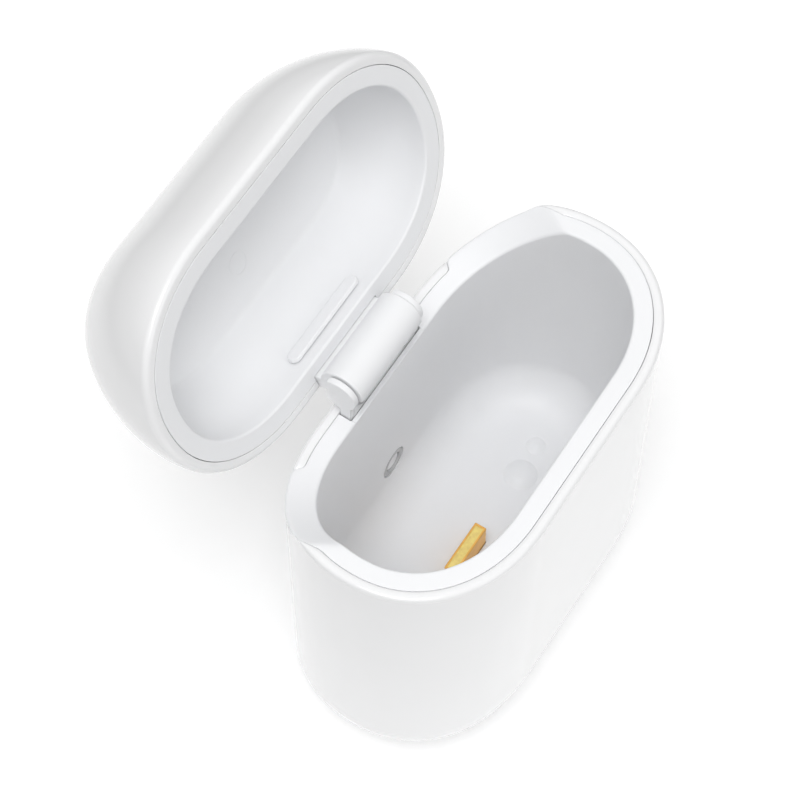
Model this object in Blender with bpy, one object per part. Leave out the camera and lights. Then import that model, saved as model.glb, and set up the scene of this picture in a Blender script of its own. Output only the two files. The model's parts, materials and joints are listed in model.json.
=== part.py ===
"""Wireless earbuds case, rounded stadium body with a hinged lid, standing open.

Metres, +Z up. The origin is the middle of the flat underside. X runs along the case,
Y runs from the front to the hinge side. The lid is modelled shut and swung open about its pin.
"""

import math

import bmesh
import bpy
from mathutils import Matrix, Vector

for old in list(bpy.data.objects):
    bpy.data.objects.remove(old, do_unlink=True)

# ---------------------------------------------------------------- overall sizes
case_width = 0.0425  # along X
case_depth = 0.0235  # along Y
base_height = 0.0375  # underside to the flat front of the rim
lid_depth = 0.0152  # rim to crown
cap_length = 0.0135  # X length of each rounded end
cap_squareness = 2.15  # 2 is a plain ellipse
bottom_radius = 0.0068
lid_open_angle = math.radians(113.9)

# ---------------------------------------------------------------- walls and seams
shell_wall = 0.00075
bottom_wall = 0.0009
seam_gap = 0.00012  # hairline between shell and liner
closing_gap = 0.0002  # rim to rim with the lid shut
lip_round = 0.00045  # outer edge of the base's rim
lid_lip = 0.0006  # outer edge of the lid's rim
inner_edge_round = 0.00025  # edge of the well and of the lid's hollow
rim_width = 0.00274
liner_wall = 0.0009
flange_height = 0.0030
flange_taper = 0.0008  # below the flange, back to the liner's wall
cavity_floor_z = 0.0095
cavity_draft = 0.0004
cavity_corner = 0.0042

# The rear half of the rim falls away, so the knuckle can turn above it.
rim_slope = 0.80
slope_start_inner = 0.0020
slope_start_outer = 0.0050

lid_shell_wall = 0.00108
lid_rim_width = 0.0030
lid_crown_inset = 0.0101
lid_crown_height = 0.0139
lid_crown_power = 1.67
lid_wall = 0.0009
lid_crown_wall = 0.0010  # outer skin at the crown
lid_crown_space = 0.0012  # between the skins at the crown
lid_flange_height = 0.0010
lid_flange_taper = 0.0004

# ---------------------------------------------------------------- hinge
hinge_inset = 0.0008  # pin axis in from the back face
hinge_drop = 0.0025  # pin axis below the flat rim
knuckle_length = 0.0098
knuckle_radius = 0.0022
knuckle_back = 0.00112  # pin axis to the knuckle's flat back
knuckle_root_front = 0.0008  # root's front face, ahead of the pin axis
knuckle_root_height = 0.0011  # root above the lid's rim
pin_radius = 0.0006
running_gap = 0.00006
ear_thickness = 0.0006
ear_radius = 0.0019
ear_drop = 0.0014  # ear's flat back below the pin axis
ear_gap = 0.00012
bracket_plate = 0.0007
bracket_setback = 0.00032  # bracket to the outer shell's inner face
plate_drop = 0.0003  # bracket's plate below the rear rim
ledge_width = 0.00045  # liner left standing between the well and the hinge pocket
flat_slant = 0.0004  # rise of the knuckle's slanted shoulder
end_chamfer = 0.00012  # on the pin's ends
bracket_head_height = 0.00035
bracket_screw_reach = 0.0009  # shank below the plate
bracket_slot_size = (0.00014, 0.0003)  # width and depth

# ---------------------------------------------------------------- fittings
button_z = 0.0152
button_radius = 0.00100
button_ring_radius = 0.00165
button_gap = 0.0002  # between cap and ring
switch_size = (0.0030, 0.0026)
flex_size = (0.0024, 0.0002)
button_travel = 0.00025
ring_stand = 0.00015  # ring proud of the well's wall
cap_tail = 0.0002  # cap past the back of the well's wall
switch_gap = 0.0001  # pressed cap to switch
switch_backing = 0.00015  # switch to the outer shell
flex_rise = 0.0007  # flex's lower end above the board
cover_size = (0.0104, 0.0013, 0.0004)  # raised bar inside the lid
cover_rise = 0.0018  # its middle above the lid's rim
contact_size = (0.0056, 0.00125, 0.0046)
contact_top_z = 0.0125
contact_centre = (-0.0028, -0.0012)
contact_border = (0.00035, 0.000225)  # round the recessed panel on its top
contact_recess = 0.00008
magnet_size = (0.0060, 0.0020)  # along X and Z
magnet_share = 0.46  # of the room between the skins
magnet_x = 0.0068
port_size = (0.0089, 0.0032)
port_wall = 0.0003
port_depth = 0.0064
port_z = 0.0049
port_setback = 0.00105  # mouth in from the back face
bezel_border = 0.0007
tongue_size = (0.0062, 0.0007)
tongue_root_size = (0.0070, 0.0012, 0.0020)
sensor_size = (0.0016, 0.0011, 0.0005)
sensor_at = (0.009, -0.004)
board_size = (0.0325, 0.0140, 0.0007)
board_z = 0.0070
battery_size = (0.0078, 0.0126, 0.0038)
battery_x = 0.0095
battery_z = 0.0024
screw_radius = 0.0005
board_screw_x = 0.0146
board_head_radius = 0.0009
board_head_height = 0.0006
board_screw_length = 0.0022
board_slot_size = (0.00025, 0.0005)  # width and depth
screw_hole_gap = 0.00015  # round a board screw's shank
seat_gap = 0.0001  # screw head to the face under it
bracket_screw_x = 0.0034

outline_points = 56

half_depth = case_depth / 2
straight_half = case_width / 2 - cap_length
hinge_y = half_depth - hinge_inset
hinge_z = base_height - hinge_drop
seam_inset = shell_wall + seam_gap / 2
lid_rim_z = base_height + closing_gap


# ---------------------------------------------------------------- materials
def make_material(name, colour, roughness, metallic=0.0):
    material = bpy.data.materials.new(name)
    material.use_nodes = True
    shader = material.node_tree.nodes["Principled BSDF"]
    shader.inputs["Base Color"].default_value = (*colour, 1.0)
    shader.inputs["Roughness"].default_value = roughness
    shader.inputs["Metallic"].default_value = metallic
    material.diffuse_color = (*colour, 1.0)
    return material


gloss_white = make_material("gloss_white", (0.88, 0.88, 0.89), 0.08)
satin_white = make_material("satin_white", (0.82, 0.83, 0.84), 0.32)
cavity_white = make_material("cavity_white", (0.76, 0.77, 0.79), 0.28)
gold = make_material("gold", (0.83, 0.58, 0.16), 0.22, 1.0)
steel = make_material("steel", (0.62, 0.62, 0.63), 0.3, 1.0)
magnet_nickel = make_material("magnet_nickel", (0.5, 0.5, 0.52), 0.35, 1.0)
black_plastic = make_material("black_plastic", (0.03, 0.03, 0.035), 0.45)
board_green = make_material("board_green", (0.02, 0.16, 0.08), 0.4)
battery_foil = make_material("battery_foil", (0.42, 0.44, 0.47), 0.4)
flex_amber = make_material("flex_amber", (0.45, 0.22, 0.04), 0.35)


# ---------------------------------------------------------------- helpers
def finish(bm, name, material, sharp_degrees=35):
    bmesh.ops.recalc_face_normals(bm, faces=bm.faces[:])
    mesh = bpy.data.meshes.new(name)
    bm.to_mesh(mesh)
    bm.free()
    mesh.shade_smooth()
    mesh.set_sharp_from_angle(angle=math.radians(sharp_degrees))
    obj = bpy.data.objects.new(name, mesh)
    bpy.context.scene.collection.objects.link(obj)
    if material:
        mesh.materials.append(material)
    return obj


def as_cutter(obj):
    obj.hide_render = True
    obj.display_type = "WIRE"
    return obj


def boolean(target, other, operation="DIFFERENCE"):
    modifier = target.modifiers.new(operation.lower() + "_" + other.name, "BOOLEAN")
    modifier.operation = operation
    modifier.object = as_cutter(other)
    modifier.solver = "EXACT"


def outline(inset):
    """Points round the case's plan shape, a given distance in from its outside."""
    x_reach, y_reach = cap_length - inset, half_depth - inset
    points = []
    for side in (1, -1):
        for step in range(outline_points // 2):
            angle = math.pi / 2 - math.pi * step / (outline_points // 2 - 1)
            c, s = math.cos(angle), math.sin(angle)
            x = x_reach * abs(c) ** (2 / cap_squareness)
            y = y_reach * math.copysign(abs(s) ** (2 / cap_squareness), s)
            points.append((side * (straight_half + x), side * y))
    return points


def rim_fall(y, inset):
    """How far the base's rim has fallen below its flat front, at this place."""
    across = min(max(inset / rim_width, 0.0), 1.0)
    start = slope_start_outer + (slope_start_inner - slope_start_outer) * across
    return rim_slope * max(0.0, y - start)


def ring_solid(name, rings, material, sharp_degrees=35):
    """A closed skin through rings of (inset, z, follows the rim), first and last ring capped."""
    bm = bmesh.new()
    loops = []
    for inset, z, follows in rings:
        loop = []
        for x, y in outline(inset):
            fall = rim_fall(y, inset) * follows
            loop.append(bm.verts.new((x, y, z - fall)))
        loops.append(loop)
    count = outline_points
    for low, high in zip(loops, loops[1:]):
        for i in range(count):
            j = (i + 1) % count
            bm.faces.new((low[i], low[j], high[j], high[i]))
    bm.faces.new(loops[0])
    bm.faces.new(loops[-1])
    return finish(bm, name, material, sharp_degrees)


def box(name, centre, size, material, bevel=0.0):
    bm = bmesh.new()
    bmesh.ops.create_cube(bm, size=1.0)
    bmesh.ops.scale(bm, vec=Vector(size), verts=bm.verts[:])
    bmesh.ops.translate(bm, vec=Vector(centre), verts=bm.verts[:])
    if bevel:
        bmesh.ops.bevel(bm, geom=bm.edges[:], offset=bevel, segments=2, affect="EDGES", profile=0.5)
    return finish(bm, name, material)


AXIS_TURNS = {
    "X": Matrix.Rotation(math.pi / 2, 4, "Y"),
    "Y": Matrix.Rotation(-math.pi / 2, 4, "X"),
    "Z": Matrix.Identity(4),
}


def turned(name, axis, centre, profile, material, segments=24):
    """A round solid: (distance along the axis, radius) pairs, from one end to the other."""
    bm = bmesh.new()
    loops = []
    for along, radius in profile:
        loop = []
        for i in range(segments):
            angle = 2 * math.pi * i / segments
            loop.append(bm.verts.new((radius * math.cos(angle), radius * math.sin(angle), along)))
        loops.append(loop)
    for low, high in zip(loops, loops[1:]):
        for i in range(segments):
            j = (i + 1) % segments
            bm.faces.new((low[i], low[j], high[j], high[i]))
    bm.faces.new(loops[0])
    bm.faces.new(loops[-1])
    bmesh.ops.transform(bm, matrix=Matrix.Translation(centre) @ AXIS_TURNS[axis], verts=bm.verts[:])
    return finish(bm, name, material)


def turned_ring(name, axis, centre, outer, inner, start, end, material, segments=24):
    """A washer-like ring between two radii."""
    bm = bmesh.new()
    corners = ((start, inner), (start, outer), (end, outer), (end, inner))
    loops = []
    for along, radius in corners:
        turn = [2 * math.pi * i / segments for i in range(segments)]
        loops.append([bm.verts.new((radius * math.cos(a), radius * math.sin(a), along)) for a in turn])
    for low, high in zip(loops, loops[1:] + loops[:1]):
        for i in range(segments):
            j = (i + 1) % segments
            bm.faces.new((low[i], low[j], high[j], high[i]))
    bmesh.ops.transform(bm, matrix=Matrix.Translation(centre) @ AXIS_TURNS[axis], verts=bm.verts[:])
    return finish(bm, name, material)


def extruded(name, points, start, end, material, axis="X", sharp_degrees=35):
    """A flat outline pushed along an axis. The points hold the other two coordinates, in order."""
    bm = bmesh.new()
    place = "XYZ".index(axis)
    bottom = [bm.verts.new((*p[:place], start, *p[place:])) for p in points]
    step = Vector([end - start if i == place else 0 for i in range(3)])
    face = bm.faces.new(bottom)
    made = bmesh.ops.extrude_face_region(bm, geom=[face], use_keep_orig=True)
    moved = [v for v in made["geom"] if isinstance(v, bmesh.types.BMVert)]
    bmesh.ops.translate(bm, vec=step, verts=moved)
    return finish(bm, name, material, sharp_degrees)


def slot_outline(length, width, rise=0.0, per_end=9):
    """A rounded slot lying along X, its middle raised by rise."""
    radius = width / 2
    reach = length / 2 - radius
    points = []
    for side in (1, -1):
        for i in range(per_end):
            angle = -math.pi / 2 + math.pi * i / (per_end - 1)
            x, y = reach + radius * math.cos(angle), radius * math.sin(angle)
            points.append((side * x, side * y + rise))
    return points


def arc(centre, radius, start, end, count):
    turn = [start + (end - start) * i / (count - 1) for i in range(count)]
    return [(centre[0] + radius * math.cos(a), centre[1] + radius * math.sin(a)) for a in turn]


def bottom_rings(radius, wall, steps):
    """Rings up the rounded bottom edge, moved in by a wall."""
    rings = []
    for i in range(steps):
        turn = math.pi / 2 * (1 - i / (steps - 1))
        inner = radius - wall
        rings.append((radius - inner * math.cos(turn), radius - inner * math.sin(turn), 0))
    return rings


# ---------------------------------------------------------------- base: outer shell
lip_rings = [
    (0.0, base_height - lip_round, 1),
    (lip_round * 0.13, base_height - lip_round * 0.5, 1),
    (lip_round * 0.5, base_height - lip_round * 0.13, 1),
    (lip_round, base_height, 1),
]
shell_inside = seam_inset - seam_gap / 2
inner_bottom = [
    (inset, z + bottom_wall - shell_inside, follows)
    for inset, z, follows in bottom_rings(bottom_radius, shell_inside, 6)
]
shell_rings = (
    bottom_rings(bottom_radius, 0.0, 8)
    + lip_rings
    + [(shell_inside, base_height, 1)]
    + inner_bottom[::-1]
)
base_outer_shell = ring_solid("base_outer_shell", shell_rings, gloss_white)

# ---------------------------------------------------------------- base: liner
liner_outside = seam_inset + seam_gap / 2
cavity_rings = []
cavity_steps = 6
for i in range(cavity_steps):
    turn = math.pi / 2 * i / (cavity_steps - 1)
    cavity_rings.append(
        (
            rim_width + cavity_draft + cavity_corner * (1 - math.cos(turn)),
            cavity_floor_z + cavity_corner * (1 - math.sin(turn)),
            0,
        )
    )
underside_rings = [(inset - liner_wall, z - liner_wall, 0) for inset, z, _ in cavity_rings]
base_liner = ring_solid(
    "base_liner",
    cavity_rings[::-1]
    + [
        (rim_width, base_height - inner_edge_round, 1),
        (rim_width - inner_edge_round, base_height, 1),
        (liner_outside, base_height, 1),
        (liner_outside, base_height - flange_height, 1),
        (rim_width - liner_wall, base_height - flange_height - flange_taper, 1),
    ]
    + underside_rings,
    satin_white,
)

# ---------------------------------------------------------------- hinge
ear_outside = knuckle_length / 2 + ear_gap + ear_thickness
rear_rim_z = base_height - rim_fall(half_depth - rim_width, rim_width)
plate_top = rear_rim_z - plate_drop
plate_bottom = plate_top - bracket_plate
pocket_front = half_depth - rim_width + ledge_width
bracket_front = pocket_front + seam_gap
pocket_back = half_depth - liner_outside + 0.0002
pocket = box(
    "hinge_pocket_cut",
    (0, (pocket_front + pocket_back) / 2, plate_bottom - seam_gap + 0.004),
    (2 * (ear_outside + seam_gap), pocket_back - pocket_front, 0.008),
    None,
)
boolean(base_liner, pocket)

knuckle_bore = pin_radius + running_gap
back_angle = -math.acos(knuckle_back / knuckle_radius)
root_back = hinge_inset - 0.0001
root_top = hinge_drop + closing_gap + knuckle_root_height
root_join = math.asin(knuckle_root_front / knuckle_radius)
knuckle_points = [(root_back, root_top), (-knuckle_root_front, root_top)]
knuckle_points += arc(
    (0, 0), knuckle_radius, math.pi / 2 + root_join, 2 * math.pi + back_angle, 22
)
flat_top = knuckle_radius * math.sin(-back_angle) * 0.9
knuckle_points += [(knuckle_back, flat_top), (root_back, flat_top + flat_slant)]
knuckle_side = [(hinge_y + y, hinge_z + z) for y, z in knuckle_points]
hinge_knuckle = extruded(
    "hinge_knuckle", knuckle_side, -knuckle_length / 2, knuckle_length / 2, satin_white
)
bore_cut = turned(
    "knuckle_bore_cut",
    "X",
    (0, hinge_y, hinge_z),
    [(-knuckle_length, knuckle_bore), (knuckle_length, knuckle_bore)],
    None,
    32,
)
boolean(hinge_knuckle, bore_cut)

pin_half = ear_outside
hinge_pin = turned(
    "hinge_pin",
    "X",
    (0, hinge_y, hinge_z),
    [
        (-pin_half, pin_radius * 0.8),
        (-pin_half + end_chamfer, pin_radius),
        (pin_half - end_chamfer, pin_radius),
        (pin_half, pin_radius * 0.8),
    ],
    steel,
    32,
)

bracket_back = half_depth - shell_wall - bracket_setback
bracket_width = bracket_back - bracket_front
leg_angle = math.acos((hinge_y - bracket_front) / ear_radius)
ear_back_angle = math.acos(knuckle_back / ear_radius)
ear_points = [(bracket_front, plate_bottom)]
ear_points += arc((hinge_y, hinge_z), ear_radius, math.pi + leg_angle, ear_back_angle, 20)
ear_points += [
    (hinge_y + knuckle_back, hinge_z - ear_drop),
    (bracket_back, hinge_z - ear_radius - 0.0002),
    (bracket_back, plate_bottom),
]
hinge_bracket = box(
    "hinge_bracket",
    (0, (bracket_front + bracket_back) / 2, plate_bottom + bracket_plate / 2),
    (2 * ear_outside - 0.0002, bracket_width, bracket_plate),
    satin_white,
)
for side, word in ((-1, "left"), (1, "right")):
    inner_face = side * (ear_outside - ear_thickness)
    outer_face = side * ear_outside
    low, high = sorted((inner_face, outer_face))
    ear = extruded("bracket_ear_" + word, ear_points, low, high, None)
    boolean(hinge_bracket, ear, "UNION")
ear_bore = turned(
    "ear_bore_cut",
    "X",
    (0, hinge_y, hinge_z),
    [(-knuckle_length, knuckle_bore), (knuckle_length, knuckle_bore)],
    None,
    32,
)
boolean(hinge_bracket, ear_bore)


def screw(name, centre, head_radius, head_height, shank, shank_radius, upward):
    """A pan-head screw with its head's seat at centre. Its shank goes up or down from there."""
    way = 1 if upward else -1
    steps = [
        (-head_height, head_radius * 0.75),
        (-head_height * 0.6, head_radius),
        (0.0, head_radius),
        (0.00001, shank_radius),
        (shank - shank_radius * 0.5, shank_radius),
        (shank, shank_radius * 0.5),
    ]
    obj = turned(name, "Z", centre, [(way * a, r) for a, r in steps], steel, 16)
    return obj


def slot_cut(name, centre, length, width, depth):
    return box(name, centre, (length, width, depth), None)


bracket_screw_y = (bracket_front + bracket_back) / 2
bracket_screw_head = 0.44 * bracket_width
bracket_screw_shank = 0.25 * bracket_width
bracket_screw_hole = 0.34 * bracket_width
for side, word in ((-1, "left"), (1, "right")):
    seat = (side * bracket_screw_x, bracket_screw_y, plate_top + seat_gap)
    fixing = screw(
        "bracket_screw_" + word,
        seat,
        bracket_screw_head,
        bracket_head_height,
        bracket_plate + bracket_screw_reach,
        bracket_screw_shank,
        False,
    )
    boolean(
        fixing,
        slot_cut(
            "bracket_slot_" + word,
            (seat[0], seat[1], seat[2] + bracket_head_height),
            4 * bracket_screw_head,
            *bracket_slot_size,
        ),
    )
    hole = turned(
        "bracket_hole_" + word,
        "Z",
        (seat[0], seat[1], plate_bottom),
        [(-0.0012, bracket_screw_hole), (0.002, bracket_screw_hole)],
        None,
        16,
    )
    boolean(hinge_bracket, hole)
    boolean(base_liner, hole)

# ---------------------------------------------------------------- setup button, in the rear wall
wall_face_y = half_depth - rim_width - cavity_draft * 0.75
wall_back_y = half_depth - (rim_width - liner_wall)
button_at = (0, wall_face_y, button_z)
button_hole = turned(
    "button_hole_cut",
    "Y",
    button_at,
    [(-0.002, button_ring_radius + seam_gap), (0.003, button_ring_radius + seam_gap)],
    None,
    32,
)
boolean(base_liner, button_hole)
setup_button_ring = turned_ring(
    "setup_button_ring",
    "Y",
    button_at,
    button_ring_radius,
    button_radius + button_gap,
    -ring_stand,
    liner_wall + cap_tail / 2,
    satin_white,
    32,
)
cap_back = liner_wall + cap_tail
setup_button = turned(
    "setup_button",
    "Y",
    button_at,
    [
        (0.00010, button_radius * 0.55),
        (0.00016, button_radius * 0.88),
        (0.00030, button_radius),
        (cap_back, button_radius),
    ],
    satin_white,
    32,
)
shell_inner_y = half_depth - shell_wall
switch_front = cap_back + button_travel + switch_gap
switch_back = shell_inner_y - wall_face_y - switch_backing
switch_room = switch_back - switch_front
button_switch = box(
    "button_switch",
    (0, wall_face_y + (switch_front + switch_back) / 2, button_z),
    (switch_size[0], switch_room, switch_size[1]),
    steel,
    0.00006,
)
flex_top = button_z - switch_size[1] / 2 - 0.0001
flex_bottom = board_z + board_size[2] + flex_rise
flex_y = (wall_back_y + shell_inner_y) / 2
button_flex = box(
    "button_flex",
    (0, flex_y, (flex_top + flex_bottom) / 2),
    (flex_size[0], flex_size[1], flex_top - flex_bottom),
    flex_amber,
)

# ---------------------------------------------------------------- charging contact on the floor
contact_x, contact_y = contact_centre
contact_cut = box(
    "contact_cut",
    (contact_x, contact_y, cavity_floor_z - liner_wall / 2),
    (contact_size[0] + 2 * seam_gap, contact_size[1] + 2 * seam_gap, 4 * liner_wall),
    None,
)
boolean(base_liner, contact_cut)
charge_contact = box(
    "charge_contact",
    (contact_x, contact_y, contact_top_z - contact_size[2] / 2),
    contact_size,
    gold,
    0.00008,
)
contact_panel = box(
    "contact_panel_cut",
    (contact_x, contact_y, contact_top_z),
    (contact_size[0] - 2 * contact_border[0], contact_size[1] - 2 * contact_border[1], 2 * contact_recess),
    None,
)
boolean(charge_contact, contact_panel)

# ---------------------------------------------------------------- charging port, low in the back


def port_slot(name, grow, low, high, material=None):
    """The port's rounded outline, grown all round and pushed along Y."""
    points = slot_outline(port_size[0] + 2 * grow, port_size[1] + 2 * grow, port_z)
    return extruded(name, points, low, high, material, "Y")


cut_low, cut_high = half_depth / 2, 2 * half_depth
boolean(
    base_outer_shell, port_slot("port_opening_cut", bezel_border + seam_gap, cut_low, cut_high)
)
port_bezel = ring_solid("port_bezel", shell_rings, satin_white)
boolean(port_bezel, port_slot("bezel_outline", bezel_border, cut_low, cut_high), "INTERSECT")
boolean(port_bezel, port_slot("bezel_hole_cut", seam_gap, cut_low, cut_high))
port_mouth_y = half_depth - port_setback
port_end_y = port_mouth_y - port_depth
port_shell = port_slot("port_shell", 0.0, port_end_y, port_mouth_y, steel)
boolean(port_shell, port_slot("port_mouth_cut", -port_wall, port_end_y + port_wall, cut_high))
tongue_low = port_end_y + port_wall + 0.0001
tongue_high = port_mouth_y - 0.0010
port_tongue = box(
    "port_tongue",
    (0, (tongue_low + tongue_high) / 2, port_z),
    (tongue_size[0], tongue_high - tongue_low, tongue_size[1]),
    black_plastic,
    0.00012,
)
tongue_root_y = tongue_low + tongue_root_size[1] / 2
tongue_root = box("tongue_root", (0, tongue_root_y, port_z), tongue_root_size, None)
boolean(port_tongue, tongue_root, "UNION")

# ---------------------------------------------------------------- electronics under the floor
main_board = box(
    "main_board", (0, 0, board_z + board_size[2] / 2), board_size, board_green, 0.0
)
screw_seat_z = board_z - seat_gap
for side, word in ((-1, "left"), (1, "right")):
    where = (side * board_screw_x, 0, screw_seat_z)
    fixing = screw(
        "board_screw_" + word,
        where,
        board_head_radius,
        board_head_height,
        board_screw_length,
        screw_radius,
        True,
    )
    slot_at = (where[0], 0, screw_seat_z - board_head_height)
    boolean(
        fixing, slot_cut("board_slot_" + word, slot_at, 4 * board_head_radius, *board_slot_size)
    )
    hole = turned(
        "board_hole_" + word,
        "Z",
        (side * board_screw_x, 0, board_z),
        [
            (-board_size[2], screw_radius + screw_hole_gap),
            (board_screw_length + seat_gap / 2, screw_radius + screw_hole_gap),
        ],
        None,
        16,
    )
    boolean(main_board, hole)
    boolean(base_liner, hole)
    battery = box(
        "battery_" + word,
        (side * battery_x, 0, battery_z + battery_size[2] / 2),
        battery_size,
        battery_foil,
        0.0005,
    )
sensor_z = board_z + board_size[2] + 0.00015 + sensor_size[2] / 2
lid_sensor = box("lid_sensor", (*sensor_at, sensor_z), sensor_size, black_plastic)

# ---------------------------------------------------------------- base magnets, behind the front wall
magnet_y = -(half_depth - (shell_wall + rim_width - liner_wall) / 2)
magnet_thickness = magnet_share * (rim_width - liner_wall - shell_wall)
base_magnet_z = base_height - flange_height - flange_taper - 0.0002 - magnet_size[1] / 2
for side, word in ((-1, "left"), (1, "right")):
    box(
        "base_magnet_" + word,
        (side * magnet_x, magnet_y, base_magnet_z),
        (magnet_size[0], magnet_thickness, magnet_size[1]),
        magnet_nickel,
        magnet_thickness / 5,
    )

# ---------------------------------------------------------------- lid, modelled shut


def crown_rings(wall, top, steps):
    """Rings up the lid's crown, for a skin a wall's thickness inside the outer one."""
    rings = []
    start = lid_depth - lid_crown_height
    for i in range(steps):
        turn = math.pi / 2 * i / (steps - 1)
        share = math.sin(turn) ** (2 / lid_crown_power)
        close = 1 - max(0.0, 1 - share**lid_crown_power) ** (1 / lid_crown_power)
        height = start + (top - start) * share
        rings.append((wall + (lid_crown_inset - wall) * close, lid_rim_z + height, 0))
    return rings


lid_inside = lid_shell_wall
lid_outer_shell = ring_solid(
    "lid_outer_shell",
    crown_rings(0.0, lid_depth, 10)[::-1]
    + [
        (0.0, lid_rim_z + lid_lip, 0),
        (lid_lip * 0.13, lid_rim_z + lid_lip * 0.5, 0),
        (lid_lip * 0.5, lid_rim_z + lid_lip * 0.13, 0),
        (lid_lip, lid_rim_z, 0),
        (lid_inside, lid_rim_z, 0),
    ]
    + crown_rings(lid_inside, lid_depth - lid_crown_wall, 8)[1:],
    gloss_white,
)
lid_flange = lid_inside + seam_gap
lid_liner_top = lid_depth - lid_crown_wall - lid_crown_space
lid_cavity_depth = lid_liner_top - lid_wall
lid_liner = ring_solid(
    "lid_liner",
    crown_rings(lid_rim_width, lid_cavity_depth, 8)[::-1]
    + [
        (lid_rim_width, lid_rim_z + inner_edge_round, 0),
        (lid_rim_width - inner_edge_round, lid_rim_z, 0),
        (lid_flange, lid_rim_z, 0),
        (lid_flange, lid_rim_z + lid_flange_height, 0),
        (lid_rim_width - lid_wall, lid_rim_z + lid_flange_height + lid_flange_taper, 0),
    ]
    + crown_rings(lid_rim_width - lid_wall, lid_liner_top, 8)[1:],
    cavity_white,
)
root_front_y = hinge_y - knuckle_root_front
notch_top = lid_rim_z + knuckle_root_height + seam_gap
lid_notch = box(
    "lid_notch_cut",
    (0, root_front_y - seam_gap + 0.002, notch_top - 0.002),
    (knuckle_length + 2 * seam_gap, 0.004, 0.004),
    None,
)
boolean(lid_outer_shell, lid_notch)
boolean(lid_liner, lid_notch)

cover_y = half_depth - lid_rim_width - 0.00025
lid_hinge_cover = extruded(
    "lid_hinge_cover",
    slot_outline(cover_size[0], cover_size[1]),
    0.0,
    cover_size[2],
    cavity_white,
    "Z",
)
lid_hinge_cover.data.transform(
    Matrix.Translation((0, cover_y, lid_rim_z + cover_rise)) @ Matrix.Rotation(math.pi / 2, 4, "X")
)
lid_magnet_y = -(half_depth - (lid_inside + lid_rim_width - lid_wall) / 2 - 0.00016)
lid_magnet_thickness = magnet_share * (lid_rim_width - lid_wall - lid_inside)
lid_magnet_z = lid_rim_z + lid_flange_height + lid_flange_taper + 0.0002 + magnet_size[1] / 2
lid_parts = [lid_outer_shell, lid_liner, lid_hinge_cover, hinge_knuckle]
for side, word in ((-1, "left"), (1, "right")):
    lid_parts.append(
        box(
            "lid_magnet_" + word,
            (side * magnet_x, lid_magnet_y, lid_magnet_z),
            (magnet_size[0], lid_magnet_thickness, magnet_size[1]),
            magnet_nickel,
            lid_magnet_thickness / 5,
        )
    )

# ---------------------------------------------------------------- swing the lid open about the pin
lid_axis = bpy.data.objects.new("lid_axis", None)
lid_axis.location = (0, hinge_y, hinge_z)
lid_axis.rotation_euler = (-lid_open_angle, 0, 0)
bpy.context.scene.collection.objects.link(lid_axis)
swinging = lid_parts + [lid_notch, bore_cut]
for piece in swinging:
    piece.data.transform(Matrix.Translation((0, -hinge_y, -hinge_z)))
    piece.parent = lid_axis
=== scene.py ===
import json
import math

import bmesh
import bpy
import numpy as np
from mathutils import Matrix, Vector


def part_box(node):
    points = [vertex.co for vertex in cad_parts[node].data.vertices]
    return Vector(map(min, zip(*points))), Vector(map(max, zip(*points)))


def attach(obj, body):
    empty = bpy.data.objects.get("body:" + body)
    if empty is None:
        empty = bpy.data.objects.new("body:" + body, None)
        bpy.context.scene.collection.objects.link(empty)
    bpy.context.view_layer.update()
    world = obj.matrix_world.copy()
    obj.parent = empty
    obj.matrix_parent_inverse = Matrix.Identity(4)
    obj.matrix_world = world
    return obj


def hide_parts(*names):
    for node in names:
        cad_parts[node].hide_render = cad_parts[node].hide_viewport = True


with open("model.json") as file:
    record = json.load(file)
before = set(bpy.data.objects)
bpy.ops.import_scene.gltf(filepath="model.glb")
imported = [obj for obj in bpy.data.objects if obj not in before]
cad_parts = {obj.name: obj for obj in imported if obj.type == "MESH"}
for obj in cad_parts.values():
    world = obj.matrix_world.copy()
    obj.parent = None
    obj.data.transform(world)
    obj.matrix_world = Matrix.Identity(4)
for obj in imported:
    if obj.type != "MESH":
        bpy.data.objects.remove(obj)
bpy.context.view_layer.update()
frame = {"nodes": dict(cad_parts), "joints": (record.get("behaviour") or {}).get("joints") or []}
nodes = frame["nodes"]
MM = 0.001


def clean(obj):
    """Applies every modifier, so that the mesh itself is the final shape."""
    graph = bpy.context.evaluated_depsgraph_get()
    made = bpy.data.meshes.new_from_object(obj.evaluated_get(graph))
    obj.modifiers.clear()
    old = obj.data
    obj.data = made
    bpy.data.meshes.remove(old)
    return obj


# ---------------------------------------------------------------- sizes, read from the frame
shell_low, shell_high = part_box("base_outer_shell")
half_width = (shell_high.x - shell_low.x) / 2
half_depth = (shell_high.y - shell_low.y) / 2
base_height = shell_high.z
hinge = next(j for j in frame["joints"] if j["name"] == "lid_hinge")
hinge_at = Vector(hinge["pos_m"])
lid_open = math.radians(max(abs(v) for v in hinge["range_deg"]))
swing = Matrix.Rotation(-lid_open, 4, "X")
open_lid = Matrix.Translation(hinge_at) @ swing @ Matrix.Translation(-hinge_at)


def shut_box(node):
    """A lid node's corners with the lid shut, which is how the lid is built below."""
    shut = open_lid.inverted()
    points = np.array([shut @ v.co for v in nodes[node].data.vertices])
    return Vector(points.min(0)), Vector(points.max(0))


crown_shy = 0.035 * MM  # keeps the rounder crown inside the CAD box
lid_rim_z = shut_box("lid_outer_shell")[0].z
lid_depth = shut_box("lid_outer_shell")[1].z - lid_rim_z - crown_shy

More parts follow.
